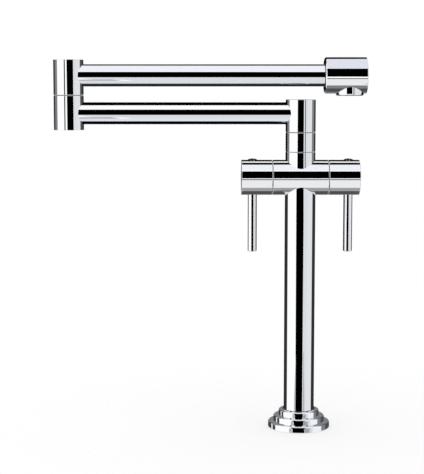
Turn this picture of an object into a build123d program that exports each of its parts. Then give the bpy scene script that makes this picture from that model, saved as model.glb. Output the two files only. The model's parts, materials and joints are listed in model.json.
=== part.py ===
from build123d import *
import os
from math import cos, pi, sin, sqrt

# Deck-mounted pot filler with a folding, two-joint arm.
# A stepped flange and a column stand on the deck and carry a two-handle mixing valve.
# The neck above the valve carries the lower arm, whose elbow carries the upper arm and the spout head.
# Frame: millimetres, +Z up, origin on the column's axis at the deck.
# The arms lie along X with the elbow at -X, and the front of the fitting faces -Y.

# Column and stepped base flange
COLUMN_OD = 35.0
COLUMN_WALL = 2.0
FLANGE_OD = 71.0
FLANGE_TIERS = 3
TIER_RUN = 6.1
TIER_RISE = 6.8
TIER_ROUND = 2.0
TIER_FLAT = 0.5
GASKET_INSET = 5.0
GASKET_WIDTH = 6.0
GASKET_THICKNESS = 2.0
FLANGE_SEAL_WIDTH = 1.0
FLANGE_SEAL_DEPTH = 1.2
FLANGE_SEAL_PROUD = 0.4

# Foot insert with hose sockets and stud holes, and the two supply tubes above it
FOOT_HEIGHT = 22.0
INLET_OD = 10.0
INLET_DEPTH = 12.0
INLET_SPACING = 15.0
STUD_OD = 6.0
STUD_DEPTH = 14.0
STUD_SPACING = 20.0
SUPPLY_OD = 8.0
SUPPLY_WALL = 1.0
SUPPLY_SEAT = 6.0
SUPPLY_SEAL = 1.6

# Valve body: a barrel along X, a neck stub above it and a spigot inside the column
VALVE_AXIS_Z = 290.0
VALVE_OD = 40.0
VALVE_LENGTH = 63.0
VALVE_EDGE = 0.3
SPIGOT_LENGTH = 18.0
NECK_STUB = 29.0
POST_SOCKET = 13.0
MIXING_BORE = 6.0
MIXING_RISE = 14.0
MIXING_SUMP = 1.0
MIXING_CHAMBER_OD = 14.0
POCKET_OD = 14.0
POCKET_MARGIN = 0.5

# Quarter-turn ceramic cartridges, measured outwards along the valve's axis
CARTRIDGE_OD = 20.0
CARTRIDGE_HEX = 24.0
CARTRIDGE_FLANGE = 4.0
CARTRIDGE_NOSE_OD = 14.0
CARTRIDGE_NOSE = 3.6
CARTRIDGE_PORT = 4.0
CARTRIDGE_PORTS = 4
GALLERY_OD = 25.0
GALLERY_WIDTH = 8.0
SEAT_SEAL = 1.5
DISC_OD = 16.0
DISC_THICKNESS = 3.0
DISC_CLEARANCE = 0.2
DISC_PORT_RADIUS = 4.6
DISC_PORT_WIDTH = 3.4
DISC_PORT_ANGLE = 50.0
DISC_NOTCH = 5.0
DRIVER_THICKNESS = 3.0
TONGUE_WIDTH = 2.4
TONGUE_DEPTH = 1.2
SPINDLE_OD = 8.0
SPLINE_TEETH = 20
SPLINE_DEPTH = 0.4

# Handles: a hub on each end of the valve with a rod lever through it
HANDLE_LENGTH = 35.2
HANDLE_GAP = 0.8
HEX_CLEARANCE = 1.6
HANDLE_EDGE = 0.6
LEVER_OD = 10.3
LEVER_INSET = 12.7
LEVER_REACH = 85.0
LEVER_STANDOUT = 1.6
LEVER_CROWN = 1.0
LEVER_EDGE = 0.8
SOCKET_WEB = 1.5
GRUB_OD = 5.0
GRUB_LENGTH = 9.0
GRUB_KEY = 2.5
GRUB_KEY_DEPTH = 3.0

# Swivels: a hollow post with seals, on which a hub turns between a washer and a circlip
HUB_OD = 34.1
HUB_EDGE = 0.25
SEAM_GAP = 0.8
SEAM_INSET = 0.6
NECK_GASKET = 0.6
COLLAR_HEIGHT = 21.4
POST_OD = 20.0
POST_BORE = 12.0
POST_FLANGE_OD = 26.0
POST_FLANGE = 2.0
POST_TIP = 1.3
POST_HEADROOM = 0.9
JOURNAL_OD = 18.0
WASHER_THICKNESS = 1.0
WATER_PORT = 9.0
HUB_GALLERY = 10.0
HUB_GALLERY_DEPTH = 3.0
SEAL_SECTION = 1.4
SEAL_GROOVE = 1.8
CLIP_THICKNESS = 1.2
CLIP_BITE = 0.8
CLIP_REACH = 2.0
CLIP_MOUTH = 7.0
CAP_THICKNESS = 3.5
CAP_LEDGE = 1.5
CAP_EDGE = 0.3

# Arms: heights from one level to the next, and reaches from axis to axis
ARM_OD = 25.4
ARM_WALL = 1.5
NIPPLE_LENGTH = 12.0
NECK_ARM_RISE = 22.0
NECK_CROWN = 15.6
LOWER_REACH = 264.0
ELBOW_RISE = 20.0
ELBOW_DROP = 19.0
ELBOW_WEB = 11.0
ELBOW_PORT = 16.0
ELBOW_ARM_RISE = 22.8
ELBOW_CROWN = 17.8
UPPER_REACH = 319.6

# Spout head: a barrel on the upper arm with a nozzle under it
HEAD_OD = 41.0
HEAD_BEHIND = 29.1
HEAD_AHEAD = 18.8
HEAD_REAR_ROUND = 2.4
HEAD_FRONT_ROUND = 0.6
HEAD_SOCKET = 10.0
HEAD_REAR_WALL = 13.0
HEAD_WALL = 7.5
HEAD_CAP_RIM = 3.2
HEAD_CAP_THICKNESS = 3.5
NOZZLE_OD = 31.4
NOZZLE_DROP = 2.5
NOZZLE_ROUND = 2.0
NOZZLE_WALL = 3.1
AERATOR_RECESS = 0.8
AERATOR_HEIGHT = 5.4
AERATOR_WALL = 1.8
AERATOR_LIP = 1.0
AERATOR_WASHER = 1.4
AERATOR_LAND = 3.5
AERATOR_NOTCHES = 4
AERATOR_NOTCH_WIDTH = 3.0
AERATOR_NOTCH_DEPTH = 1.0
STRAINER_THICKNESS = 3.0
STRAINER_RIM = 0.6
STRAINER_HOLE = 2.6
STRAINER_PITCH = 3.7

# Clearances
FIT = 0.05
RUNNING = 0.06
FLOAT = 0.1
RELIEF = 0.4
COPE_GAP = 0.25
COLUMN_SEAM = 0.5

# Levels and stations that follow from the sizes above
FLANGE_TOP = FLANGE_TIERS * TIER_RISE
COLUMN_BORE_R = COLUMN_OD / 2 - COLUMN_WALL
VALVE_R = VALVE_OD / 2
VALVE_END = VALVE_LENGTH / 2
SPIGOT_BOTTOM = VALVE_AXIS_Z - VALVE_R - SPIGOT_LENGTH
SUPPLY_BORE_R = SUPPLY_OD / 2 - SUPPLY_WALL
POCKET_START = INLET_SPACING / 2 - SUPPLY_BORE_R - POCKET_MARGIN
SEAT = INLET_SPACING / 2 + SUPPLY_BORE_R + POCKET_MARGIN
CARTRIDGE_START = SEAT + SEAT_SEAL
MOVING_DISC_START = CARTRIDGE_START + DISC_THICKNESS
DRIVER_START = MOVING_DISC_START + DISC_THICKNESS
DRIVER_END = DRIVER_START + DRIVER_THICKNESS
GALLERY_MIDDLE = MOVING_DISC_START + DISC_THICKNESS / 2
CARTRIDGE_SEAL = (DRIVER_END + VALVE_END) / 2
CARTRIDGE_NOSE_END = VALVE_END + CARTRIDGE_FLANGE + CARTRIDGE_NOSE
HANDLE_START = VALVE_END + HANDLE_GAP
HANDLE_END = HANDLE_START + HANDLE_LENGTH
HANDLE_BORE_R = CARTRIDGE_HEX / sqrt(3) + HEX_CLEARANCE
HANDLE_FLOOR = CARTRIDGE_NOSE_END + HANDLE_GAP
LEVER_STATION = HANDLE_END - LEVER_INSET
SPINDLE_END = LEVER_STATION - LEVER_OD / 2 - SOCKET_WEB
GRUB_STATION = (HANDLE_FLOOR + SPINDLE_END) / 2
GRUB_START = SPINDLE_OD / 2 + FIT

HUB_R = HUB_OD / 2
JOURNAL_R = JOURNAL_OD / 2
CLIP_R = JOURNAL_R + CLIP_REACH
CAP_POCKET_R = CLIP_R + RELIEF
CAP_R = CAP_POCKET_R + CAP_LEDGE
ARM_BORE_R = ARM_OD / 2 - ARM_WALL

STUB_TOP = VALVE_AXIS_Z + NECK_STUB
COLLAR_BOTTOM = STUB_TOP + NECK_GASKET
NECK_SEAT = COLLAR_BOTTOM + COLLAR_HEIGHT
NECK_TOP = NECK_SEAT + NECK_ARM_RISE + NECK_CROWN
LOWER_ARM_Z = NECK_SEAT + NECK_ARM_RISE
ELBOW_X = -LOWER_REACH
ELBOW_BOTTOM = LOWER_ARM_Z - ELBOW_DROP
ELBOW_SEAT = LOWER_ARM_Z + ELBOW_RISE
UPPER_ARM_Z = ELBOW_SEAT + ELBOW_ARM_RISE
ELBOW_TOP = UPPER_ARM_Z + ELBOW_CROWN

NOZZLE_X = ELBOW_X + UPPER_REACH
HEAD_R = HEAD_OD / 2
HEAD_START = NOZZLE_X - HEAD_BEHIND
HEAD_END = NOZZLE_X + HEAD_AHEAD
HEAD_CHAMBER_R = HEAD_R - HEAD_WALL
HEAD_CAP_R = HEAD_R - HEAD_CAP_RIM
NOZZLE_BOTTOM = UPPER_ARM_Z - HEAD_R - NOZZLE_DROP
AERATOR_R = NOZZLE_OD / 2 - NOZZLE_WALL
OUTLET_R = AERATOR_R - AERATOR_LAND
AERATOR_BOTTOM = NOZZLE_BOTTOM + AERATOR_RECESS
AERATOR_TOP = AERATOR_BOTTOM + AERATOR_HEIGHT
AERATOR_SEAT = AERATOR_TOP + AERATOR_WASHER

UPRIGHT = (Align.CENTER, Align.CENTER, Align.MIN)
HOT_SIDE = Pos(0, 0, VALVE_AXIS_Z) * Rot(0, -90, 0)
COLD_SIDE = Pos(0, 0, VALVE_AXIS_Z) * Rot(0, 90, 0)


# Shared forms

def rod(radius, low, high, x=0.0, y=0.0):
    """Round bar along Z between two heights."""
    return Pos(x, y, low) * Cylinder(radius, high - low, align=UPRIGHT)


def ring(outer, inner, low, high, x=0.0, y=0.0):
    """Round tube along Z between two heights."""
    return rod(outer, low, high, x, y) - rod(inner, low, high, x, y)


def bar(radius, start, end, z, y=0.0):
    """Round bar along X between two stations."""
    left, right = sorted((start, end))
    return Pos(left, y, z) * Rot(0, 90, 0) * Cylinder(radius, right - left, align=UPRIGHT)


def turned(corners, rounds=()):
    """Solid of revolution about Z from (radius, height) corners. rounds lists (radius, height, fillet)."""
    face = make_face(Polyline(*corners, close=True))
    for radius, height, size in rounds:
        face = fillet(face.vertices().sort_by_distance((radius, height))[0], size)
    return revolve(Plane.XZ * face, Axis.Z)


def edged(radius, low, high, edge):
    """Round bar along Z with both rims chamfered."""
    return turned(
        [
            (0, low),
            (radius - edge, low),
            (radius, low + edge),
            (radius, high - edge),
            (radius - edge, high),
            (0, high),
        ]
    )


def seal_ring(inner, section, z, x=0.0):
    """O-ring about a vertical axis, from its inner radius and its section."""
    return Pos(x, 0, z) * Torus(inner + section / 2, section / 2)


def group(*solids):
    """Several separate solids that share one node."""
    return Compound(children=[solid for part in solids for solid in part.solids()])


# Base, column and supplies

def base_flange():
    """Stepped flange with rounded tiers, a gasket groove below and a rebate for its seal on top."""
    bore = COLUMN_OD / 2 + FIT
    corners = [(bore, 0)]
    rounds = []
    for tier in range(FLANGE_TIERS):
        radius = FLANGE_OD / 2 - tier * TIER_RUN
        ledge = TIER_RUN if tier < FLANGE_TIERS - 1 else radius - bore
        top = (tier + 1) * TIER_RISE
        corners += [(radius, top - TIER_RISE), (radius, top)]
        rounds.append((radius, top, min(TIER_ROUND, ledge - TIER_FLAT)))
    corners.append((bore, FLANGE_TOP))
    gasket_outer = FLANGE_OD / 2 - GASKET_INSET
    groove = ring(gasket_outer + FIT, gasket_outer - GASKET_WIDTH - FIT, 0, GASKET_THICKNESS)
    rebate = rod(bore + FLANGE_SEAL_WIDTH + FIT, FLANGE_TOP - FLANGE_SEAL_DEPTH, FLANGE_TOP)
    return turned(corners, rounds) - groove - rebate


def base_gasket():
    outer = FLANGE_OD / 2 - GASKET_INSET
    return ring(outer, outer - GASKET_WIDTH, 0, GASKET_THICKNESS)


def flange_seal():
    """Ring round the column's foot that shows as a dark line on top of the flange."""
    inner = COLUMN_OD / 2 + FIT
    low = FLANGE_TOP - FLANGE_SEAL_DEPTH
    return ring(inner + FLANGE_SEAL_WIDTH, inner, low, FLANGE_TOP + FLANGE_SEAL_PROUD)


def column_tube():
    """Column, its top coped to follow the valve's barrel with an even seam."""
    tube = ring(COLUMN_OD / 2, COLUMN_BORE_R, 0, VALVE_AXIS_Z)
    return tube - bar(VALVE_R + COLUMN_SEAM, -COLUMN_OD, COLUMN_OD, VALVE_AXIS_Z)


def foot_insert():
    """Plug in the column's foot, with two hose sockets and two stud holes in its underside."""
    plug = rod(COLUMN_BORE_R - FIT, 0, FOOT_HEIGHT)
    for side in (-1, 1):
        x = side * INLET_SPACING / 2
        plug -= rod(INLET_OD / 2, 0, INLET_DEPTH, x)
        plug -= rod(SUPPLY_BORE_R, 0, FOOT_HEIGHT, x)
        plug -= rod(SUPPLY_OD / 2 + FIT, FOOT_HEIGHT - SUPPLY_SEAT, FOOT_HEIGHT, x)
        plug -= rod(SUPPLY_OD / 2 + SUPPLY_SEAL + FIT, FOOT_HEIGHT - SUPPLY_SEAL, FOOT_HEIGHT, x)
        plug -= rod(STUD_OD / 2, 0, STUD_DEPTH, 0, side * STUD_SPACING / 2)
    return plug


def supply_tube(side):
    """Tube that carries one supply from the foot up to the valve."""
    low = FOOT_HEIGHT - SUPPLY_SEAT
    high = SPIGOT_BOTTOM + SUPPLY_SEAT
    return ring(SUPPLY_OD / 2, SUPPLY_BORE_R, low, high, side * INLET_SPACING / 2)


def supply_seals():
    heights = (FOOT_HEIGHT - SUPPLY_SEAL / 2, SPIGOT_BOTTOM + SUPPLY_SEAL / 2)
    stations = (-INLET_SPACING / 2, INLET_SPACING / 2)
    return group(*[seal_ring(SUPPLY_OD / 2, SUPPLY_SEAL, z, x) for z in heights for x in stations])


# Valve body and cartridges

def valve_body():
    """Barrel, neck stub and spigot in one casting, with its waterways drilled."""
    body = COLD_SIDE * edged(VALVE_R, -VALVE_END, VALVE_END, VALVE_EDGE)
    stub_edge = STUB_TOP - HUB_EDGE
    body += turned(
        [
            (0, VALVE_AXIS_Z),
            (HUB_R, VALVE_AXIS_Z),
            (HUB_R, stub_edge),
            (HUB_R - HUB_EDGE, STUB_TOP),
            (0, STUB_TOP),
        ]
    )
    body += rod(COLUMN_BORE_R - FIT, SPIGOT_BOTTOM, VALVE_AXIS_Z)
    mixing_z = VALVE_AXIS_Z + MIXING_RISE
    body -= rod(POST_OD / 2 + FIT, STUB_TOP - POST_SOCKET, STUB_TOP)
    body -= rod(MIXING_CHAMBER_OD / 2, mixing_z - MIXING_BORE / 2 - MIXING_SUMP, STUB_TOP)
    body -= bar(MIXING_BORE / 2, -GALLERY_MIDDLE, GALLERY_MIDDLE, mixing_z)
    for side in (-1, 1):
        x = side * INLET_SPACING / 2
        body -= rod(SUPPLY_BORE_R, SPIGOT_BOTTOM, VALVE_AXIS_Z, x)
        body -= rod(SUPPLY_OD / 2 + FIT, SPIGOT_BOTTOM, SPIGOT_BOTTOM + SUPPLY_SEAT, x)
        body -= rod(SUPPLY_OD / 2 + SUPPLY_SEAL + FIT, SPIGOT_BOTTOM, SPIGOT_BOTTOM + SUPPLY_SEAL, x)
        body -= bar(POCKET_OD / 2, side * POCKET_START, side * SEAT, VALVE_AXIS_Z)
        body -= bar(CARTRIDGE_OD / 2 + FIT, side * SEAT, side * VALVE_END, VALVE_AXIS_Z)
        gallery = (GALLERY_MIDDLE - GALLERY_WIDTH / 2, GALLERY_MIDDLE + GALLERY_WIDTH / 2)
        body -= bar(GALLERY_OD / 2, side * gallery[0], side * gallery[1], VALVE_AXIS_Z)
    return body


def cartridge_body():
    """Threaded housing with a spanner hexagon, side ports and a bore for discs and spindle."""
    hexagon = extrude(RegularPolygon(CARTRIDGE_HEX / 2, 6, major_radius=False), CARTRIDGE_FLANGE)
    body = rod(CARTRIDGE_OD / 2, CARTRIDGE_START, VALVE_END)
    body += Pos(0, 0, VALVE_END) * hexagon
    body += rod(CARTRIDGE_NOSE_OD / 2, VALVE_END, CARTRIDGE_NOSE_END)
    body -= rod(DISC_OD / 2 + DISC_CLEARANCE, CARTRIDGE_START, DRIVER_END + FLOAT)
    body -= rod(SPINDLE_OD / 2 + RUNNING, CARTRIDGE_START, CARTRIDGE_NOSE_END)
    groove_low = CARTRIDGE_SEAL - SEAL_GROOVE / 2
    groove = ring(CARTRIDGE_OD / 2, CARTRIDGE_OD / 2 - SEAL_SECTION, groove_low, groove_low + SEAL_GROOVE)
    port = Rot(0, 90, 0) * Cylinder(CARTRIDGE_PORT / 2, CARTRIDGE_OD, align=UPRIGHT)
    for turn in range(CARTRIDGE_PORTS):
        body -= Pos(0, 0, GALLERY_MIDDLE) * Rot(0, 0, turn * 360 / CARTRIDGE_PORTS) * port
    return body - groove


def cartridge_seal():
    return seal_ring(CARTRIDGE_OD / 2 - SEAL_SECTION, SEAL_SECTION, CARTRIDGE_SEAL)


def seat_seal():
    return ring(CARTRIDGE_OD / 2, POCKET_OD / 2, SEAT, CARTRIDGE_START)


def fixed_disc():
    """Ceramic disc with two kidney ports."""
    disc = Circle(DISC_OD / 2)
    for at in (0, 180):
        middle_line = CenterArc((0, 0), DISC_PORT_RADIUS, at - DISC_PORT_ANGLE / 2, DISC_PORT_ANGLE)
        disc -= SlotArc(middle_line, DISC_PORT_WIDTH)
    return Pos(0, 0, CARTRIDGE_START) * extrude(disc, DISC_THICKNESS)


def tongue(clearance):
    """Key across the driver that turns the moving disc."""
    size = (TONGUE_WIDTH + 2 * clearance, DISC_OD, TONGUE_DEPTH + clearance)
    return Pos(0, 0, DRIVER_START - size[2]) * Box(*size, align=UPRIGHT)


def moving_disc():
    """Ceramic disc whose side notches stand a quarter turn from the fixed ports, as the valve is shut."""
    disc = Circle(DISC_OD / 2)
    for side in (-1, 1):
        disc -= Pos(0, side * DISC_OD / 2) * Rot(0, 0, 90) * SlotCenterToCenter(DISC_OD / 2, DISC_NOTCH)
    return Pos(0, 0, MOVING_DISC_START) * extrude(disc, DISC_THICKNESS) - tongue(FIT)


def spline(clearance, start, end):
    """Serrated end of the spindle, or its socket with a clearance."""
    tip = SPINDLE_OD / 2 + clearance
    steps = 2 * SPLINE_TEETH
    radii = [tip - SPLINE_DEPTH * (step % 2) for step in range(steps)]
    points = [(r * cos(2 * pi * i / steps), r * sin(2 * pi * i / steps)) for i, r in enumerate(radii)]
    return Pos(0, 0, start) * extrude(make_face(Polyline(*points, close=True)), end - start)


def spindle():
    """Stem with a driver for the moving disc at one end and a serrated seat for the handle at the other."""
    driver = rod(DISC_OD / 2, DRIVER_START, DRIVER_END) + tongue(0) & rod(DISC_OD / 2, SEAT, DRIVER_END)
    stem = rod(SPINDLE_OD / 2, DRIVER_START, HANDLE_FLOOR)
    return driver + stem + spline(0, HANDLE_FLOOR, SPINDLE_END)


# Handles

def handle_hub():
    """Cup over the cartridge, with a serrated socket, a grub screw hole at the back and a lever hole."""
    outer = turned(
        [
            (0, HANDLE_START),
            (VALVE_R - VALVE_EDGE, HANDLE_START),
            (VALVE_R, HANDLE_START + VALVE_EDGE),
            (VALVE_R, HANDLE_END),
            (0, HANDLE_END),
        ],
        [(VALVE_R, HANDLE_END, HANDLE_EDGE)],
    )
    hub = outer - rod(HANDLE_BORE_R, HANDLE_START, HANDLE_FLOOR)
    hub -= spline(FIT, HANDLE_FLOOR, SPINDLE_END + FIT)
    hub -= Pos(0, 0, GRUB_STATION) * Rot(-90, 0, 0) * Cylinder(GRUB_OD / 2, VALVE_OD, align=UPRIGHT)
    return hub - Pos(0, 0, LEVER_STATION) * Rot(0, 90, 0) * Cylinder(LEVER_OD / 2 + FIT, 2 * VALVE_OD)


def lever(side):
    """Rod through the handle hub: a long lower end, and a shallow crown that stands out of the hub."""
    radius = LEVER_OD / 2
    bottom = VALVE_AXIS_Z - LEVER_REACH
    top = VALVE_AXIS_Z + VALVE_R + LEVER_STANDOUT
    shoulder = top - LEVER_CROWN
    profile = [(0, bottom), (radius, bottom), (radius, shoulder), (0, shoulder)]
    crown_radius = (radius**2 + LEVER_CROWN**2) / (2 * LEVER_CROWN)
    crown = rod(radius, shoulder, top) & Pos(0, 0, top - crown_radius) * Sphere(crown_radius)
    return Pos(side * LEVER_STATION, 0, 0) * (turned(profile, [(radius, bottom, LEVER_EDGE)]) + crown)


def glide_ring():
    """Plastic ring in the seam between the valve's barrel and a handle hub."""
    return ring(VALVE_R - SEAM_INSET, HANDLE_BORE_R, VALVE_END, HANDLE_START - FLOAT)


def grub_screw():
    """Set screw that bears on the spindle, with a hexagon socket at its outer end."""
    key = extrude(RegularPolygon(GRUB_KEY / 2, 6, major_radius=False), GRUB_KEY_DEPTH)
    screw = rod(GRUB_OD / 2 - FIT, GRUB_START, GRUB_START + GRUB_LENGTH)
    screw -= Pos(0, 0, GRUB_START + GRUB_LENGTH - GRUB_KEY_DEPTH) * key
    return Pos(0, 0, GRUB_STATION) * Rot(-90, 0, 0) * screw


# Swivels

def swivel_ledge(top):
    """Height of the ledge that the circlip holds down, worked out from the hub's top face."""
    return top - CAP_THICKNESS - POST_HEADROOM - POST_TIP - CLIP_THICKNESS - FLOAT


def seal_heights(seat_z, port_z, top):
    """Middle heights of the seals below and above the water port."""
    washer_top = seat_z + POST_FLANGE + WASHER_THICKNESS
    lower = (washer_top + port_z - HUB_GALLERY / 2) / 2
    upper = (port_z + HUB_GALLERY / 2 + swivel_ledge(top)) / 2
    return lower, upper


def swivel_post(seat_z, shank, port_z, top):
    """Hollow pivot: a threaded shank under its flange, a journal with grooves and a cross port above."""
    clip_z = swivel_ledge(top) + FLOAT
    post = rod(POST_OD / 2, seat_z - shank, seat_z)
    post += rod(POST_FLANGE_OD / 2, seat_z, seat_z + POST_FLANGE)
    post += rod(JOURNAL_R, seat_z, clip_z + CLIP_THICKNESS + POST_TIP)
    post -= rod(POST_BORE / 2, seat_z - shank, port_z + HUB_GALLERY / 2)
    post -= bar(WATER_PORT / 2, -JOURNAL_OD, JOURNAL_OD, port_z)
    for z in seal_heights(seat_z, port_z, top):
        post -= ring(JOURNAL_OD, JOURNAL_R - SEAL_SECTION, z - SEAL_GROOVE / 2, z + SEAL_GROOVE / 2)
    return post - ring(JOURNAL_OD, JOURNAL_R - CLIP_BITE, clip_z, clip_z + CLIP_THICKNESS)


def swivel_seals(seat_z, port_z, top):
    heights = seal_heights(seat_z, port_z, top)
    return group(*[seal_ring(JOURNAL_R - SEAL_SECTION, SEAL_SECTION, z) for z in heights])


def thrust_washer(seat_z):
    low = seat_z + POST_FLANGE
    return ring(POST_FLANGE_OD / 2, JOURNAL_R + FIT, low, low + WASHER_THICKNESS)


def wear_ring(seat_z):
    """Plastic ring that shows as a dark line in a swivel's seam."""
    return ring(HUB_R - SEAM_INSET, POST_FLANGE_OD / 2 + RELIEF, seat_z, seat_z + SEAM_GAP - FLOAT)


def circlip(top):
    """Open ring in the post's groove that keeps the hub on."""
    mouth = Pos(0, -CLIP_R) * Rectangle(CLIP_MOUTH, 2 * CLIP_R)
    outline = Circle(CLIP_R) - Circle(JOURNAL_R - CLIP_BITE) - mouth
    return Pos(0, 0, swivel_ledge(top) + FLOAT) * extrude(outline, CLIP_THICKNESS)


def nipple(arm_z, side):
    """Spigot on a hub, over which the arm's tube fits."""
    return bar(ARM_BORE_R - FIT, 0, side * (HUB_R + NIPPLE_LENGTH), arm_z)


def swivel_hub(seat_z, arm_z, top, side):
    """Hub that turns on a post, with a water gallery, a recess for its cap and a nipple for its arm."""
    bottom = seat_z + SEAM_GAP
    ceiling = seat_z + POST_FLANGE + WASHER_THICKNESS
    ledge = swivel_ledge(top)
    hub = edged(HUB_R, bottom, top, HUB_EDGE) + nipple(arm_z, side)
    bores = (
        (POST_FLANGE_OD / 2 + RELIEF, bottom, ceiling),
        (JOURNAL_R + RUNNING, ceiling, ledge),
        (JOURNAL_R + HUB_GALLERY_DEPTH, arm_z - HUB_GALLERY / 2, arm_z + HUB_GALLERY / 2),
        (CAP_POCKET_R, ledge, top),
        (CAP_R + FIT, top - CAP_THICKNESS, top),
    )
    for radius, low, high in bores:
        hub -= rod(radius, low, high)
    return hub - bar(WATER_PORT / 2, 0, side * (HUB_R + NIPPLE_LENGTH), arm_z)


def hub_cap(outer_z, inner_z):
    """Cap flush with a hub's end, from its outer face to its inner one."""
    edge = CAP_EDGE if inner_z > outer_z else -CAP_EDGE
    return turned(
        [
            (0, outer_z),
            (CAP_R - CAP_EDGE, outer_z),
            (CAP_R, outer_z + edge),
            (CAP_R, inner_z),
            (0, inner_z),
        ]
    )


# Collar, elbow and arms

def neck_collar():
    """Sleeve between the neck stub and the lower arm's hub, clamped by the post's flange."""
    return edged(HUB_R, COLLAR_BOTTOM, NECK_SEAT, HUB_EDGE) - rod(POST_OD / 2 + FIT, COLLAR_BOTTOM, NECK_SEAT)


def neck_gasket():
    """Sealing ring between the neck stub and the collar."""
    return ring(HUB_R - SEAM_INSET, POST_OD / 2 + FIT, STUB_TOP, COLLAR_BOTTOM)


def lower_elbow_hub():
    """Hub at the lower arm's end: a chamber closed by a cap below and a web that carries the elbow post."""
    hub = edged(HUB_R, ELBOW_BOTTOM, ELBOW_SEAT, HUB_EDGE) + nipple(LOWER_ARM_Z, 1)
    hub -= rod(CAP_R + FIT, ELBOW_BOTTOM, ELBOW_BOTTOM + CAP_THICKNESS)
    hub -= rod(CAP_POCKET_R, ELBOW_BOTTOM, ELBOW_SEAT - ELBOW_WEB)
    hub -= rod(POST_OD / 2 + FIT, ELBOW_BOTTOM, ELBOW_SEAT)
    hub -= bar(ELBOW_PORT / 2, 0, HUB_R + NIPPLE_LENGTH, LOWER_ARM_Z)
    return Pos(ELBOW_X, 0, 0) * hub


def arm_tube(start, end, z):
    return bar(ARM_OD / 2, start, end, z) - bar(ARM_BORE_R, start, end, z)


def coping(x, z):
    """Cutter that shapes a tube's end to a hub."""
    return rod(HUB_R + COPE_GAP, z - HUB_OD, z + HUB_OD, x)


def lower_arm_tube():
    return arm_tube(ELBOW_X, 0, LOWER_ARM_Z) - coping(ELBOW_X, LOWER_ARM_Z) - coping(0, LOWER_ARM_Z)


def upper_arm_tube():
    return arm_tube(ELBOW_X, HEAD_START + HEAD_SOCKET, UPPER_ARM_Z) - coping(ELBOW_X, UPPER_ARM_Z)


# Spout head and aerator

def spout_head():
    """Barrel with a rounded rear rim, a socket for the arm, a water chamber and a nozzle underneath."""
    barrel = turned(
        [(0, HEAD_START), (HEAD_R, HEAD_START), (HEAD_R, HEAD_END), (0, HEAD_END)],
        [(HEAD_R, HEAD_START, HEAD_REAR_ROUND), (HEAD_R, HEAD_END, HEAD_FRONT_ROUND)],
    )
    head = Pos(0, 0, UPPER_ARM_Z) * Rot(0, 90, 0) * barrel
    nozzle_r = NOZZLE_OD / 2
    nozzle = turned(
        [(0, NOZZLE_BOTTOM), (nozzle_r, NOZZLE_BOTTOM), (nozzle_r, UPPER_ARM_Z), (0, UPPER_ARM_Z)],
        [(nozzle_r, NOZZLE_BOTTOM, NOZZLE_ROUND)],
    )
    head += Pos(NOZZLE_X, 0, 0) * nozzle
    head -= bar(ARM_OD / 2 + FIT, HEAD_START, HEAD_START + HEAD_SOCKET, UPPER_ARM_Z)
    head -= bar(ARM_BORE_R, HEAD_START, HEAD_START + HEAD_REAR_WALL, UPPER_ARM_Z)
    head -= bar(HEAD_CHAMBER_R, HEAD_START + HEAD_REAR_WALL, HEAD_END, UPPER_ARM_Z)
    head -= bar(HEAD_CAP_R + FIT, HEAD_END - HEAD_CAP_THICKNESS, HEAD_END, UPPER_ARM_Z)
    head -= rod(AERATOR_R + FIT, NOZZLE_BOTTOM, AERATOR_SEAT, NOZZLE_X)
    return head - rod(OUTLET_R, AERATOR_SEAT, UPPER_ARM_Z, NOZZLE_X)


def spout_end_cap():
    inner = HEAD_END - HEAD_CAP_THICKNESS
    rim = HEAD_END - CAP_EDGE
    disc = turned(
        [(0, inner), (HEAD_CAP_R, inner), (HEAD_CAP_R, rim), (HEAD_CAP_R - CAP_EDGE, HEAD_END), (0, HEAD_END)]
    )
    return Pos(0, 0, UPPER_ARM_Z) * Rot(0, 90, 0) * disc


def aerator_housing():
    """Threaded ring with key notches in its lower rim and a lip that holds the strainer."""
    inner = AERATOR_R - AERATOR_WALL
    housing = ring(AERATOR_R, inner, AERATOR_BOTTOM, AERATOR_TOP)
    lip_low = AERATOR_BOTTOM + AERATOR_NOTCH_DEPTH
    housing += ring(AERATOR_R, inner - AERATOR_LIP, lip_low, lip_low + AERATOR_LIP)
    notch = Pos(0, 0, AERATOR_BOTTOM) * Box(
        2 * AERATOR_R, AERATOR_NOTCH_WIDTH, AERATOR_NOTCH_DEPTH, align=(Align.MIN, Align.CENTER, Align.MIN)
    )
    for turn in range(AERATOR_NOTCHES):
        housing -= Rot(0, 0, turn * 360 / AERATOR_NOTCHES) * notch
    return Pos(NOZZLE_X, 0, 0) * housing


def aerator_strainer():
    """Disc with as many rings of round holes as it has room for, standing on the housing's lip."""
    radius = AERATOR_R - AERATOR_WALL - FIT
    rings = int((radius - STRAINER_HOLE / 2 - STRAINER_RIM) / STRAINER_PITCH)
    plate = Circle(radius) - Circle(STRAINER_HOLE / 2)
    for circle in range(1, rings + 1):
        plate -= PolarLocations(circle * STRAINER_PITCH, 6 * circle) * Circle(STRAINER_HOLE / 2)
    low = AERATOR_BOTTOM + AERATOR_NOTCH_DEPTH + AERATOR_LIP
    return Pos(NOZZLE_X, 0, low) * extrude(plate, STRAINER_THICKNESS)


def aerator_washer():
    return ring(AERATOR_R, OUTLET_R, AERATOR_TOP, AERATOR_SEAT, NOZZLE_X)


def at_elbow(shape):
    return Pos(ELBOW_X, 0, 0) * shape


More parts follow.
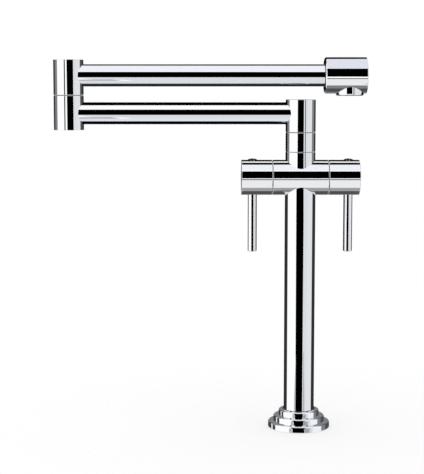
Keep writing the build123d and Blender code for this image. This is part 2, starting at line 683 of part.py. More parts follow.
nodes = {
    "base_flange": base_flange(),
    "base_gasket": base_gasket(),
    "flange_seal": flange_seal(),
    "column_tube": column_tube(),
    "foot_insert": foot_insert(),
    "hot_supply_tube": supply_tube(-1),
    "cold_supply_tube": supply_tube(1),
    "supply_seals": supply_seals(),
    "valve_body": valve_body(),
    "neck_gasket": neck_gasket(),
    "neck_collar": neck_collar(),
    "neck_post": swivel_post(NECK_SEAT, NECK_SEAT - STUB_TOP + POST_SOCKET, LOWER_ARM_Z, NECK_TOP),
    "neck_seals": swivel_seals(NECK_SEAT, LOWER_ARM_Z, NECK_TOP),
    "neck_washer": thrust_washer(NECK_SEAT),
    "neck_wear_ring": wear_ring(NECK_SEAT),
    "neck_circlip": circlip(NECK_TOP),
    "neck_hub": swivel_hub(NECK_SEAT, LOWER_ARM_Z, NECK_TOP, -1),
    "neck_cap": hub_cap(NECK_TOP, NECK_TOP - CAP_THICKNESS),
    "lower_arm_tube": lower_arm_tube(),
    "lower_elbow_hub": lower_elbow_hub(),
    "lower_elbow_cap": at_elbow(hub_cap(ELBOW_BOTTOM, ELBOW_BOTTOM + CAP_THICKNESS)),
    "elbow_post": at_elbow(swivel_post(ELBOW_SEAT, ELBOW_WEB, UPPER_ARM_Z, ELBOW_TOP)),
    "elbow_seals": at_elbow(swivel_seals(ELBOW_SEAT, UPPER_ARM_Z, ELBOW_TOP)),
    "elbow_washer": at_elbow(thrust_washer(ELBOW_SEAT)),
    "elbow_wear_ring": at_elbow(wear_ring(ELBOW_SEAT)),
    "elbow_circlip": at_elbow(circlip(ELBOW_TOP)),
    "upper_elbow_hub": at_elbow(swivel_hub(ELBOW_SEAT, UPPER_ARM_Z, ELBOW_TOP, 1)),
    "upper_elbow_cap": at_elbow(hub_cap(ELBOW_TOP, ELBOW_TOP - CAP_THICKNESS)),
    "upper_arm_tube": upper_arm_tube(),
    "spout_head": spout_head(),
    "spout_end_cap": spout_end_cap(),
    "aerator_housing": aerator_housing(),
    "aerator_strainer": aerator_strainer(),
    "aerator_washer": aerator_washer(),
}
for name, side, place in (("hot", -1, HOT_SIDE), ("cold", 1, COLD_SIDE)):
    nodes[f"{name}_cartridge"] = place * cartridge_body()
    nodes[f"{name}_cartridge_seal"] = place * cartridge_seal()
    nodes[f"{name}_seat_seal"] = place * seat_seal()
    nodes[f"{name}_fixed_disc"] = place * fixed_disc()
    nodes[f"{name}_moving_disc"] = place * moving_disc()
    nodes[f"{name}_spindle"] = place * spindle()
    nodes[f"{name}_glide_ring"] = place * glide_ring()
    nodes[f"{name}_handle_hub"] = place * handle_hub()
    nodes[f"{name}_grub_screw"] = place * grub_screw()
    nodes[f"{name}_lever"] = lever(side)

os.makedirs("parts", exist_ok=True)
for name, shape in nodes.items():
    export_step(shape, f"parts/{name}.step")
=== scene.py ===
import json
import math
from collections import namedtuple

import bpy
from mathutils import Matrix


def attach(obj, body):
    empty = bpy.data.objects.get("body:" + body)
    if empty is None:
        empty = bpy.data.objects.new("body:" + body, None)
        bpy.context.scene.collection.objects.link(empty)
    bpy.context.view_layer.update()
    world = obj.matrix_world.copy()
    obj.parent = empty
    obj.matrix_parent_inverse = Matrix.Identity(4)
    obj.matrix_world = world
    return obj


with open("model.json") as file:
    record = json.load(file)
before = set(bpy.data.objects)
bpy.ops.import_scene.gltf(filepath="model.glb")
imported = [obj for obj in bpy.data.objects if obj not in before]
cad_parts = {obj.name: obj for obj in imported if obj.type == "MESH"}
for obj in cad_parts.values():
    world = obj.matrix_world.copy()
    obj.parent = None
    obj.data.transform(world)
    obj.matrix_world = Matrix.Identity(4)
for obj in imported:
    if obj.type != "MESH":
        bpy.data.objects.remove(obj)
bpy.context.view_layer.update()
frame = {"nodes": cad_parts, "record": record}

MM = 0.001

# Camera, as read from the photograph: metres, degrees, pixels, and millimetres along the longer side
CAMERA_PLACE = (-0.1010, -1.5431, 0.3916)
CAMERA_PITCH = 6.298
FOCAL_PIXELS = 1350.0
IMAGE_HEIGHT = 474.0
SENSOR_SIZE = 36.0

# Floor: a pale disc that fades out into the white surroundings
FLOOR_RADIUS = 0.45
FLOOR_CORNERS = 96
FLOOR_FADE_START = 0.02
FLOOR_SHARE = 0.6
FLOOR_DROP = 0.0003
FLOOR_COLOUR = (0.98, 0.98, 0.98, 1.0)
SURROUNDINGS = (1.0, 1.0, 1.0, 1.0)

# The studio as polished metal sees it
WHITE = (1.06, 1.06, 1.06, 1.0)
ICE = (0.92, 0.94, 0.99, 1.0)
LAVENDER = (0.80, 0.81, 0.88, 1.0)
SILVER = (0.88, 0.88, 0.885, 1.0)
PALE = (0.74, 0.77, 0.81, 1.0)
CREAM = (0.80, 0.81, 0.82, 1.0)
ASH = (0.48, 0.485, 0.495, 1.0)
MIST = (0.36, 0.365, 0.375, 1.0)
GREY = (0.22, 0.225, 0.235, 1.0)
SHADE = (0.08, 0.08, 0.085, 1.0)
DIM = (0.03, 0.03, 0.033, 1.0)
BLACK = (0.0, 0.0, 0.0, 1.0)

# Bands of light that a piece mirrors beside the front panels: colour, from and to in degrees.
# Bands round the object go by bearing: 0 is the camera's side (-Y), 90 is +X, and 180 is behind.
# Bands over and under it go by roll: 0 is the camera's side, 90 is up, and 180 is behind.
# Where there is no band it is black, and later bands lie over earlier ones.
# LEFT, RIGHT, UP and DOWN are the edges of the front panels, and PAST goes beyond 180, so that no soft
# edge shows behind.
LEFT = -38
RIGHT = 46
UP = 46
DOWN = -30
PAST = 190
COLUMN_ROUND = ((DIM, -PAST, -107), (WHITE, -107, LEFT), (CREAM, RIGHT, 102), (DIM, 102, PAST))
NECK_ROUND = (
    (GREY, -126, -99),
    (WHITE, -99, LEFT),
    (CREAM, RIGHT, 95),
    (GREY, 95, 124),
    (DIM, 124, PAST),
)
ELBOW_ROUND = (
    (DIM, -PAST, -122),
    (GREY, -122, -91),
    (WHITE, -91, LEFT),
    (CREAM, RIGHT, 105),
    (SHADE, 105, 140),
)
HEAD_ROUND = ((WHITE, -108, LEFT), (CREAM, RIGHT, 107))
BASE_ROUND = (
    (SHADE, -PAST, PAST),
    (DIM, -118, -106),
    (PALE, -130, -118),
    (DIM, -150, -130),
    (WHITE, -102, LEFT),
    (ICE, RIGHT, 92),
    (GREY, 92, 116),
)
PLAIN_OVER = ((LAVENDER, UP, 127), (PALE, -90, DOWN))
ARM_BACK = ((LAVENDER, 155, 172), (LAVENDER, -172, -155))
LOWER_ARM_OVER = ((WHITE, 41, 89), (LAVENDER, -88, DOWN), *ARM_BACK)
UPPER_ARM_OVER = ((ICE, 38, 118), (PALE, -92, DOWN), (DIM, -127, -92), *ARM_BACK)
HEAD_OVER = (
    (LAVENDER, 41, 127),
    (SILVER, -67, DOWN),
    (GREY, -92, -67),
    (SHADE, -130, -92),
    (GREY, -172, -130),
)
VALVE_OVER = (
    (ICE, UP, 95),
    (WHITE, 117, 132),
    (SILVER, -70, DOWN),
    (MIST, -100, -70),
    (SHADE, -150, -100),
    (GREY, -172, -150),
)
BASE_OVER = (*PLAIN_OVER, (GREY, 127, PAST), (SHADE, -PAST, -90))
EVEN = ((PALE, -PAST, PAST),)
BAND_EDGE = 3.0

# Share of a direction along X over which the bands over a piece give way to the bands round it
SIDE_SHARE = (0.45, 0.55)

# Over the bands lie a light behind the object, a dark strip in that light, and a dark strip at each side
# of the object. They leave out the directions that the edges of a piece mirror towards the camera.
BACK_LIGHT = PALE
BACK_SHARE = (-0.20, 0.0)
BACK_STRIP = (-174.0, -153.0)
SIDE_STRIPS = (58.0, 76.0)

# Ranges of directions that are left out: heights in degrees, and shares along X, which end at 1
EVERY_HEIGHT = (-90.0, 90.0)
HEIGHT_EDGE = 1.5
NOT_ASIDE = (2.0, 3.0)
ARM_ASIDE = (-0.15, 0.15)
HEAD_ASIDE = (-0.80, 0.15)
LEVER_ASIDE = (-0.25, 0.25)
ASIDE_EDGE = 0.10

# Dark belts that the levers' top ends mirror, and that the barrel's underside mirrors in the column:
# colour, from and to in degrees of height
LEVER_BELT = (DIM, -2.75, -2.20)
COLUMN_BELT = (GREY, -91.0, -72.0)
BELT_EDGE = 0.1

# Skies for groups of pieces: the group's pieces, the bands round and over them, the heights and the
# shares along X that are left out, and a dark belt over all of it
Sky = namedtuple("Sky", "pieces around over heights_out aside_out belt", defaults=(NOT_ASIDE, None))
SKIES = {
    "column": Sky(
        pieces=("column_tube",),
        around=COLUMN_ROUND,
        over=PLAIN_OVER,
        heights_out=(-14.6, 2.0),
        belt=COLUMN_BELT,
    ),
    "lever": Sky(
        pieces=("hot_lever", "cold_lever"),
        around=COLUMN_ROUND,
        over=PLAIN_OVER,
        heights_out=(-9.0, 16.0),
        aside_out=LEVER_ASIDE,
        belt=LEVER_BELT,
    ),
    "neck": Sky(
        pieces=("neck_hub", "neck_collar", "neck_cap"),
        around=NECK_ROUND,
        over=PLAIN_OVER,
        heights_out=(-6.5, 3.0),
    ),
    "elbow": Sky(
        pieces=("lower_elbow_hub", "lower_elbow_cap", "upper_elbow_hub", "upper_elbow_cap"),
        around=ELBOW_ROUND,
        over=PLAIN_OVER,
        heights_out=(-4.5, 4.5),
    ),
    "lower_arm": Sky(
        pieces=("lower_arm_tube",),
        around=HEAD_ROUND,
        over=LOWER_ARM_OVER,
        heights_out=(-3.0, 3.0),
        aside_out=ARM_ASIDE,
    ),
    "upper_arm": Sky(
        pieces=("upper_arm_tube", "spout_end_cap"),
        around=HEAD_ROUND,
        over=UPPER_ARM_OVER,
        heights_out=(-3.0, 3.0),
        aside_out=ARM_ASIDE,
    ),
    "head": Sky(
        pieces=("spout_head",),
        around=HEAD_ROUND,
        over=HEAD_OVER,
        heights_out=(-90.0, 3.0),
        aside_out=HEAD_ASIDE,
    ),
    "valve": Sky(
        pieces=("valve_body", "hot_handle_hub", "cold_handle_hub"),
        around=NECK_ROUND,
        over=VALVE_OVER,
        heights_out=(-6.0, 3.0),
        aside_out=ARM_ASIDE,
    ),
    "base": Sky(
        pieces=("base_flange",),
        around=BASE_ROUND,
        over=BASE_OVER,
        heights_out=(-16.0, 90.0),
    ),
}
EVEN_SKY = Sky(pieces=(), around=EVEN, over=EVEN, heights_out=EVERY_HEIGHT)
SKY_RADIUS = 30.0
SKY_STEP = 0.5

# Pieces that their neighbours mirror
MIRRORED = ("column_tube",)

# Panels of light in front of the object leave a window for the camera: metres.
# Each edge of the window is a line of (x, z) points from low to high.
WINDOW_DISTANCE = 0.51
WINDOW_TOP = 0.760
PANEL_SIDES = (-0.700, 0.620)
PANEL_BOTTOM = -0.350
PANEL_TOP = 0.870
LOW_PANEL_TOP = 0.221
PANEL_EDGE = 0.008
PANEL_STEP = 0.002
WINDOW_LEFT = (
    (-0.240, PANEL_BOTTOM),
    (-0.245, -0.115),
    (-0.285, -0.110),
    (-0.310, 0.200),
    (-0.353, WINDOW_TOP),
)
WINDOW_RIGHT = (
    (0.160, PANEL_BOTTOM),
    (0.160, -0.113),
    (0.215, -0.108),
    (0.220, 0.190),
    (0.200, 0.262),
    (0.200, WINDOW_TOP),
)

# Darker stripe on the right panel: colour, from and to along X
RIGHT_STRIPES = ((PALE, 0.230, 0.700),)

# Low panels that only the barrel or only the head sees: the top edge, and stripes by height that leave
# a white line along it
END_PANELS = {
    "valve": (0.262, ((SILVER, -0.400, 0.190), (DIM, 0.160, 0.214))),
    "head": (0.331, ((SILVER, -0.400, 0.215), (DIM, 0.190, 0.242))),
}

# Stripes on the panels that some groups of pieces see as dark: their sides and heights, the colour that
# the other groups see, and the groups that see them dark
LEVER_HEIGHTS = (0.258, 0.290)
UPRIGHT_HEIGHTS = (0.000, WINDOW_TOP)
DARK_STRIPES = {
    "left_lever_stripe": ((-0.700, -0.320), LEVER_HEIGHTS, WHITE, ("lever",)),
    "right_lever_stripe": ((0.236, 0.620), LEVER_HEIGHTS, PALE, ("lever",)),
    "elbow_stripe": ((-0.535, -0.445), UPRIGHT_HEIGHTS, WHITE, ("elbow",)),
    "hub_stripe": ((0.288, 0.362), UPRIGHT_HEIGHTS, PALE, ("neck", "head", "valve")),
    "base_stripe": ((0.258, 0.325), (-0.112, -0.020), ASH, ("base",)),
}

# Grey patches low on the panels, beside the window: their colours, and their outlines of (x, z) points
FOOT_SHADES = {
    "left_foot_shade": (
        ASH,
        ((-0.262, PANEL_BOTTOM), (-0.400, PANEL_BOTTOM), (-0.400, -0.110), (-0.262, -0.020)),
    ),
    "right_foot_shade": (
        ASH,
        ((0.325, PANEL_BOTTOM), (0.420, PANEL_BOTTOM), (0.420, -0.110), (0.325, -0.050)),
    ),
    "base_shade": (
        MIST,
        ((0.165, PANEL_BOTTOM), (0.325, PANEL_BOTTOM), (0.325, -0.112), (0.165, -0.112)),
    ),
}

# Upright strip of light in the window that only some groups of pieces see
HUB_LIGHT_SIDES = (-0.400, -0.250)
HUB_LIGHT_HEIGHTS = (0.262, WINDOW_TOP)
HUB_LIGHT_SEEN = ("neck", "head", "valve")

# Groups of pieces that see the high or the low panel as dark
HIGH_PANEL_DARK = ("head",)
LOW_PANEL_DARK = ("column", "lever", "base", *END_PANELS)

# Part of the range of a noise over which a finish goes from smooth to rough
NOISE_RANGE = (0.3, 0.7)

# Threads in the foot: metres, and steps in one turn
THREAD_PITCH = 0.001
THREAD_DEPTH = 0.00054
STUD_DEPTH = 0.014
THREAD_STEPS = 48


def link(tree, node, socket, value):
    """Feed a node's input from another node's output, or set it to a plain value."""
    if isinstance(value, bpy.types.NodeSocket):
        tree.links.new(value, node.inputs[socket])
    else:
        node.inputs[socket].default_value = value


def maths(tree, operation, first, second=0.0):
    """Result of one sum on one or two values."""
    node = tree.nodes.new("ShaderNodeMath")
    node.operation = operation
    link(tree, node, 0, first)
    link(tree, node, 1, second)
    return node.outputs[0]


def ramp(tree, value, low, high, start=0.0, end=1.0):
    """Smooth step of a value between two limits."""
    node = tree.nodes.new("ShaderNodeMapRange")
    node.interpolation_type = "SMOOTHSTEP"
    for socket, setting in enumerate((value, low, high, start, end)):
        link(tree, node, socket, setting)
    return node.outputs[0]


def inside(tree, value, low, high, edge):
    """How far a value lies between two limits, with soft edges."""
    rise = ramp(tree, value, low - edge / 2, low + edge / 2)
    fall = ramp(tree, value, high - edge / 2, high + edge / 2, 1.0, 0.0)
    return maths(tree, "MULTIPLY", rise, fall)


def mixed(tree, share, first, second):
    """Colour between two others."""
    node = tree.nodes.new("ShaderNodeMix")
    node.data_type = "RGBA"
    tree.links.new(share, node.inputs["Factor"])
    link(tree, node, "A", first)
    link(tree, node, "B", second)
    return node.outputs["Result"]


def blended(tree, share, first, second):
    """Shader between two others."""
    node = tree.nodes.new("ShaderNodeMixShader")
    tree.links.new(share, node.inputs["Fac"])
    tree.links.new(first, node.inputs[1])
    tree.links.new(second, node.inputs[2])
    return node.outputs[0]


def shaded(tree, kind, colour):
    """Shader of one kind and one colour."""
    node = tree.nodes.new(kind)
    node.inputs["Color"].default_value = colour
    return node.outputs[0]


def own_place(tree):
    """Place of each point in its object's own space."""
    return tree.nodes.new("ShaderNodeTexCoord").outputs["Object"]


def along(tree, vector):
    """A vector's parts along X, Y and Z."""
    node = tree.nodes.new("ShaderNodeSeparateXYZ")
    tree.links.new(vector, node.inputs[0])
    return node.outputs


def empty_material(thing):
    """Give an object a new material with no nodes, and return the material."""
    material = bpy.data.materials.new(thing.name)
    material.use_nodes = True
    material.node_tree.nodes.clear()
    thing.data.materials.append(material)
    return material


def ended(tree, kind, shader):
    """Send a shader to the end of its node tree."""
    output = tree.nodes.new(kind)
    tree.links.new(shader, output.inputs["Surface"])


def added(name, mesh):
    """A new object in the scene."""
    thing = bpy.data.objects.new(name, mesh)
    bpy.context.scene.collection.objects.link(thing)
    return thing


def studio_world():
    """White all round to the eye, and dark to reflections, which see the skies and panels instead."""
    world = bpy.data.worlds.new("studio")
    bpy.context.scene.world = world
    world.use_nodes = True
    tree = world.node_tree
    tree.nodes.clear()
    plain = shaded(tree, "ShaderNodeBackground", SURROUNDINGS)
    reflected = shaded(tree, "ShaderNodeBackground", BLACK)
    rays = tree.nodes.new("ShaderNodeLightPath")
    choice = blended(tree, rays.outputs["Is Glossy Ray"], plain, reflected)
    ended(tree, "ShaderNodeOutputWorld", choice)


def glow(board, clear=False):
    """Let only reflections see a board. Returns its node tree and its light."""
    board.visible_camera = False
    board.visible_diffuse = False
    board.visible_shadow = False
    material = empty_material(board)
    material.cycles.emission_sampling = "NONE"
    tree = material.node_tree
    light = tree.nodes.new("ShaderNodeEmission")
    shine = light.outputs[0]
    if clear:
        both = tree.nodes.new("ShaderNodeAddShader")
        tree.links.new(shine, both.inputs[0])
        tree.links.new(tree.nodes.new("ShaderNodeBsdfTransparent").outputs[0], both.inputs[1])
        shine = both.outputs[0]
    ended(tree, "ShaderNodeOutputMaterial", shine)
    return tree, light


def linked(board, nodes, state):
    """Choose the nodes that a board lights, or those that see it dark."""
    receivers = bpy.data.collections.new(board.name + "_receivers")
    for node in nodes:
        receivers.objects.link(node)
    board.light_linking.receiver_collection = receivers
    for child in receivers.collection_objects:
        child.light_linking.link_state = state


def group(*names):
    """Nodes of some groups of pieces that share a sky."""
    return [frame["nodes"][piece] for name in names for piece in SKIES[name].pieces]


def banded(tree, angle, bands):
    """Colour of the last band that holds an angle."""
    colour = BLACK
    for band, low, high in bands:
        colour = mixed(tree, inside(tree, angle, low, high, BAND_EDGE), colour, band)
    return colour


def sky_colour(tree, look):
    """Colour of a sky in each direction: the bands, the side strips, the back light, then the belt."""
    direction = tree.nodes.new("ShaderNodeVectorMath")
    direction.operation = "NORMALIZE"
    tree.links.new(own_place(tree), direction.inputs[0])
    x, y, z = along(tree, direction.outputs[0])
    ahead = maths(tree, "MULTIPLY", y, -1.0)
    bearing = maths(tree, "DEGREES", maths(tree, "ARCTAN2", x, ahead))
    roll = maths(tree, "DEGREES", maths(tree, "ARCTAN2", z, ahead))
    height = maths(tree, "DEGREES", maths(tree, "ARCSINE", z))

    sideways = ramp(tree, maths(tree, "ABSOLUTE", x), *SIDE_SHARE)
    colour = mixed(tree, sideways, banded(tree, roll, look.over), banded(tree, bearing, look.around))

    height_out = inside(tree, height, *look.heights_out, HEIGHT_EDGE)
    aside_out = inside(tree, x, *look.aside_out, ASIDE_EDGE)
    free = maths(tree, "SUBTRACT", 1.0, maths(tree, "MAXIMUM", height_out, aside_out))
    strips = inside(tree, maths(tree, "ABSOLUTE", bearing), *SIDE_STRIPS, BAND_EDGE)
    colour = mixed(tree, maths(tree, "MULTIPLY", strips, free), colour, DIM)

    behind = maths(tree, "MULTIPLY", ramp(tree, y, *BACK_SHARE), free)
    back_light = mixed(tree, inside(tree, bearing, *BACK_STRIP, BAND_EDGE), BACK_LIGHT, DIM)
    colour = mixed(tree, behind, colour, back_light)
    if look.belt:
        dark, low, high = look.belt
        colour = mixed(tree, inside(tree, height, low, high, BELT_EDGE), colour, dark)
    return colour


def sky(name, radius, nodes, look):
    """Dome of light bands that one group of pieces mirrors and the others look through."""
    bpy.ops.mesh.primitive_uv_sphere_add(radius=radius)
    dome = bpy.context.object
    dome.name = name + "_sky"
    tree, light = glow(dome, clear=True)
    link(tree, light, "Color", sky_colour(tree, look))
    linked(dome, nodes, "INCLUDE")


def skies(ridges):
    """One sky for each group of bright pieces, and an even one for the rest and for the threads."""
    for step, (name, look) in enumerate(SKIES.items()):
        sky(name, SKY_RADIUS + step * SKY_STEP, group(name), look)
    bright = group(*SKIES)
    rest = [node for node in frame["nodes"].values() if node not in bright]
    sky("plain", SKY_RADIUS - SKY_STEP, rest + ridges, EVEN_SKY)
    for name, node in frame["nodes"].items():
        node.visible_glossy = name in MIRRORED


def panel(name, outline, depth, light=WHITE, stripes=(), stripe_axis="X", clear=False):
    """Glowing upright panel with an outline of (x, z) points and darker stripes across one axis."""
    mesh = bpy.data.meshes.new(name)
    mesh.from_pydata([(x, depth, z) for x, z in outline], [], [range(len(outline))])
    board = added(name, mesh)
    tree, lamp = glow(board, clear)
    place = along(tree, own_place(tree))[stripe_axis]
    colour = light
    for stripe, low, high in stripes:
        colour = mixed(tree, inside(tree, place, low, high, PANEL_EDGE), colour, stripe)
    link(tree, lamp, "Color", colour)
    return board


def oblong(sides, heights):
    """Outline of an oblong as (x, z) points."""
    (left, right), (low, high) = sides, heights
    return [(left, low), (right, low), (right, high), (left, high)]


def window_panels(depth):
    """Panels at the left of the camera's window, at its right and above it."""
    outer_left, outer_right = PANEL_SIDES
    left = [(outer_left, WINDOW_TOP), (outer_left, PANEL_BOTTOM), *WINDOW_LEFT]
    right = [(outer_right, WINDOW_TOP), (outer_right, PANEL_BOTTOM), *WINDOW_RIGHT]
    panel("left_panel", left, depth)
    panel("right_panel", right, depth, stripes=RIGHT_STRIPES)
    high_panel = panel("high_panel", oblong(PANEL_SIDES, (WINDOW_TOP, PANEL_TOP)), depth)
    linked(high_panel, group(*HIGH_PANEL_DARK), "EXCLUDE")


def panels_beyond(depth):
    """Panels that show through the window, each on its own plane and for some groups of pieces."""
    hub_light = panel("hub_light", oblong(HUB_LIGHT_SIDES, HUB_LIGHT_HEIGHTS), depth, clear=True)
    linked(hub_light, group(*HUB_LIGHT_SEEN), "INCLUDE")
    for name, (edge, stripes) in END_PANELS.items():
        depth -= PANEL_STEP
        outline = oblong(PANEL_SIDES, (PANEL_BOTTOM, edge))
        end_panel = panel(
            name + "_panel", outline, depth, stripes=stripes, stripe_axis="Z", clear=True
        )
        linked(end_panel, group(name), "INCLUDE")
    depth -= PANEL_STEP
    low_panel = panel("low_panel", oblong(PANEL_SIDES, (PANEL_BOTTOM, LOW_PANEL_TOP)), depth, PALE)
    linked(low_panel, group(*LOW_PANEL_DARK), "EXCLUDE")


def patches(depth):
    """Grey patches and dark stripes just in front of the panels beside the window."""
    for name, (light, outline) in FOOT_SHADES.items():
        panel(name, outline, depth, light)
    for name, (sides, heights, light, dark) in DARK_STRIPES.items():
        stripe = panel(name, oblong(sides, heights), depth, light)
        linked(stripe, group(*dark), "EXCLUDE")
        depth += PANEL_STEP


def front_panels():
    """All the panels of light in front of the object."""
    window_panels(-WINDOW_DISTANCE)
    panels_beyond(-WINDOW_DISTANCE - PANEL_STEP)
    patches(-WINDOW_DISTANCE + PANEL_STEP)


def floor():
    """Pale disc under the base that keeps a soft shadow and has no visible rim."""
    bpy.ops.mesh.primitive_circle_add(
        vertices=FLOOR_CORNERS,
        radius=FLOOR_RADIUS,
        fill_type="NGON",
        location=(0, 0, -FLOOR_DROP),
    )
    disc = bpy.context.object
    disc.name = "floor"
    disc.visible_glossy = False
    tree = empty_material(disc).node_tree
    distance = tree.nodes.new("ShaderNodeVectorMath")
    distance.operation = "LENGTH"
    tree.links.new(own_place(tree), distance.inputs[0])
    start, end = FLOOR_FADE_START, FLOOR_RADIUS
    fade = ramp(tree, distance.outputs["Value"], start, end, 1.0 - FLOOR_SHARE, 1.0)
    solid = shaded(tree, "ShaderNodeBsdfDiffuse", FLOOR_COLOUR)
    clear = tree.nodes.new("ShaderNodeBsdfTransparent").outputs[0]
    ended(tree, "ShaderNodeOutputMaterial", blended(tree, fade, solid, clear))


def camera():
    """The photograph's camera, which looks along +Y and a little down."""
    data = bpy.data.cameras.new("camera")
    data.sensor_width = SENSOR_SIZE
    data.lens = SENSOR_SIZE * FOCAL_PIXELS / IMAGE_HEIGHT
    holder = added("camera", data)
    holder.location = CAMERA_PLACE
    holder.rotation_euler = (math.radians(90 - CAMERA_PITCH), 0, 0)
    bpy.context.scene.camera = holder


def surface(name, metallic):
    """A new material with one main shader, and its node tree."""
    material = bpy.data.materials.new(name)
    material.use_nodes = True
    tree = material.node_tree
    shader = tree.nodes["Principled BSDF"]
    shader.inputs["Metallic"].default_value = metallic
    return material, tree, shader


def noise(tree, scale, detail, stretch=(1.0, 1.0, 1.0)):
    """Noise over the object's own space, in features per metre."""
    mapping = tree.nodes.new("ShaderNodeMapping")
    mapping.inputs["Scale"].default_value = stretch
    tree.links.new(own_place(tree), mapping.inputs["Vector"])
    node = tree.nodes.new("ShaderNodeTexNoise")
    node.inputs["Scale"].default_value = scale
    node.inputs["Detail"].default_value = detail
    tree.links.new(mapping.outputs[0], node.inputs["Vector"])
    return node.outputs["Fac"]


def bump(tree, shader, height, strength, distance):
    """Fine relief on a surface, with its distance in metres."""
    node = tree.nodes.new("ShaderNodeBump")
    node.inputs["Strength"].default_value = strength
    node.inputs["Distance"].default_value = distance
    tree.links.new(height, node.inputs["Height"])
    tree.links.new(node.outputs[0], shader.inputs["Normal"])


def tinted(tree, shader, share, first, second):
    """Base colour that drifts between two colours."""
    tree.links.new(mixed(tree, share, (*first, 1.0), (*second, 1.0)), shader.inputs["Base Color"])


def roughened(tree, shader, share, low, high):
    """Roughness that drifts between two values."""
    tree.links.new(ramp(tree, share, *NOISE_RANGE, low, high), shader.inputs["Roughness"])


def chrome():
    """Polished plating with a faint haze from wiping."""
    material, tree, shader = surface("chrome", metallic=1.0)
    haze = noise(tree, scale=60.0, detail=4.0, stretch=(1.0, 1.0, 0.35))
    tinted(tree, shader, haze, first=(0.92, 0.925, 0.935), second=(0.94, 0.945, 0.955))
    roughened(tree, shader, haze, low=0.006, high=0.02)
    return material


def brass():
    """Turned brass with fine tool lines."""
    material, tree, shader = surface("brass", metallic=1.0)
    tarnish = noise(tree, scale=90.0, detail=5.0)
    tinted(tree, shader, tarnish, first=(0.62, 0.43, 0.18), second=(0.76, 0.57, 0.27))
    roughened(tree, shader, tarnish, low=0.22, high=0.38)
    lines = noise(tree, scale=400.0, detail=2.0, stretch=(0.2, 0.2, 12.0))
    bump(tree, shader, lines, strength=0.25, distance=0.00005)
    return material


def copper():
    """Drawn copper tube with darker oxide patches."""
    material, tree, shader = surface("copper", metallic=1.0)
    oxide = noise(tree, scale=70.0, detail=6.0, stretch=(1.0, 1.0, 0.3))
    tinted(tree, shader, oxide, first=(0.45, 0.23, 0.15), second=(0.78, 0.45, 0.31))
    roughened(tree, shader, oxide, low=0.25, high=0.45)
    lines = noise(tree, scale=900.0, detail=2.0, stretch=(1.0, 1.0, 0.05))
    bump(tree, shader, lines, strength=0.2, distance=0.00003)
    return material


def steel():
    """Grey hardened steel with a fine grain."""
    material, tree, shader = surface("steel", metallic=1.0)
    grain = noise(tree, scale=1500.0, detail=3.0)
    tinted(tree, shader, grain, first=(0.34, 0.34, 0.35), second=(0.46, 0.46, 0.47))
    roughened(tree, shader, grain, low=0.28, high=0.42)
    bump(tree, shader, grain, strength=0.15, distance=0.00002)
    return material


def rubber():
    """Black moulded rubber with a dry, slightly uneven skin."""
    material, tree, shader = surface("rubber", metallic=0.0)
    skin = noise(tree, scale=1200.0, detail=4.0)
    tinted(tree, shader, skin, first=(0.014, 0.014, 0.014), second=(0.032, 0.032, 0.031))
    roughened(tree, shader, skin, low=0.6, high=0.85)
    bump(tree, shader, skin, strength=0.3, distance=0.00005)
    return material


def acetal():
    """White turned plastic, a little waxy."""
    material, tree, shader = surface("acetal", metallic=0.0)
    shader.inputs["Subsurface Weight"].default_value = 0.08
    shader.inputs["Subsurface Radius"].default_value = (0.002, 0.0018, 0.0015)
    cloud = noise(tree, scale=220.0, detail=3.0)
    tinted(tree, shader, cloud, first=(0.76, 0.76, 0.73), second=(0.84, 0.84, 0.82))
    roughened(tree, shader, cloud, low=0.32, high=0.46)
    lines = noise(tree, scale=700.0, detail=2.0, stretch=(0.3, 0.3, 8.0))
    bump(tree, shader, lines, strength=0.15, distance=0.00004)
    return material


def black_acetal():
    """Black plastic of the rings that show in the seams."""
    material, tree, shader = surface("black_acetal", metallic=0.0)
    cloud = noise(tree, scale=500.0, detail=3.0)
    tinted(tree, shader, cloud, first=(0.012, 0.012, 0.012), second=(0.026, 0.026, 0.026))
    roughened(tree, shader, cloud, low=0.42, high=0.6)
    bump(tree, shader, cloud, strength=0.1, distance=0.00003)
    return material


def ceramic():
    """Lapped ceramic discs, off-white with a soft mottle."""
    material, tree, shader = surface("ceramic", metallic=0.0)
    mottle = noise(tree, scale=900.0, detail=5.0)
    tinted(tree, shader, mottle, first=(0.83, 0.82, 0.78), second=(0.91, 0.90, 0.87))
    roughened(tree, shader, mottle, low=0.08, high=0.18)
    bump(tree, shader, mottle, strength=0.05, distance=0.00001)
    return material


MATERIALS = {
    finish.__name__: finish()
    for finish in (chrome, brass, copper, steel, rubber, acetal, black_acetal, ceramic)
}


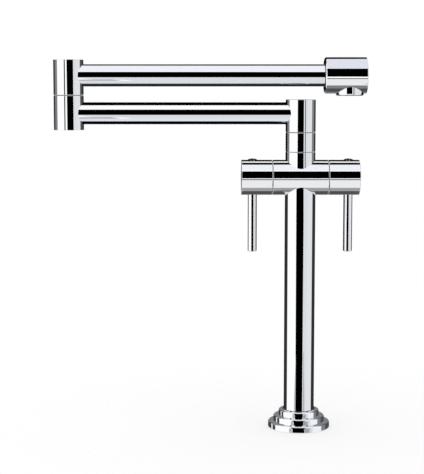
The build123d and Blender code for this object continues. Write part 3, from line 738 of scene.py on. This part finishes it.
def dress_nodes():
    """Give every node of the part the material of its slot."""
    for entry in frame["record"]["subparts"]:
        node = frame["nodes"][entry["node"]]
        node.data.materials.clear()
        node.data.materials.append(MATERIALS[entry["material_slot"]])


def helix(place, radius, length):
    """Points and faces of a ridge that winds up the wall of an upright hole."""
    x, y, z = place
    half = THREAD_PITCH / 2
    profile = ((radius, -half), (radius - THREAD_DEPTH, 0.0), (radius, half))
    corners = len(profile)
    steps = int(length / THREAD_PITCH * THREAD_STEPS)
    rise = length - 2 * THREAD_PITCH
    points = []
    for step in range(steps + 1):
        turn = 2 * math.pi * step / THREAD_STEPS
        height = z + THREAD_PITCH + rise * step / steps
        for out, up in profile:
            points.append((x + out * math.cos(turn), y + out * math.sin(turn), height + up))
    last = corners * steps
    faces = [(0, 1, 2), (last + 2, last + 1, last)]
    for step in range(steps):
        low = corners * step
        high = low + corners
        for side in range(corners):
            after = (side + 1) % corners
            faces.append((low + side, high + side, high + after, low + after))
    return points, faces


def thread(name, place, radius, length):
    """Brass thread in a hole of the foot that opens downwards."""
    points, faces = helix(place, radius, length)
    mesh = bpy.data.meshes.new(name)
    mesh.from_pydata(points, [], faces)
    mesh.materials.append(MATERIALS["brass"])
    ridge = added(name, mesh)
    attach(ridge, "stand")
    return ridge


def threads():
    """Threads of the hose sockets and of the stud holes in the foot."""
    ridges = []
    for mount in frame["record"]["mounts"]:
        size = mount["dims"]
        x, y, z = mount["pos_m"]
        if mount["kind"] == "threaded_hole":
            name = mount["name"] + "_thread"
            ridges.append(thread(name, (x, y, z), size["r_mm"] * MM, size["length_mm"] * MM))
        if mount["kind"] == "bolt_pattern":
            for side, label in ((-1, "front"), (1, "back")):
                place = (x, y + side * size["spacing_y_mm"] * MM / 2, z)
                name = label + "_stud_thread"
                ridges.append(thread(name, place, size["hole_r_mm"] * MM, STUD_DEPTH))
    return ridges


dress_nodes()
ridges = threads()
studio_world()
skies(ridges)
front_panels()
floor()
camera()
bpy.context.scene.view_settings.view_transform = "Standard"
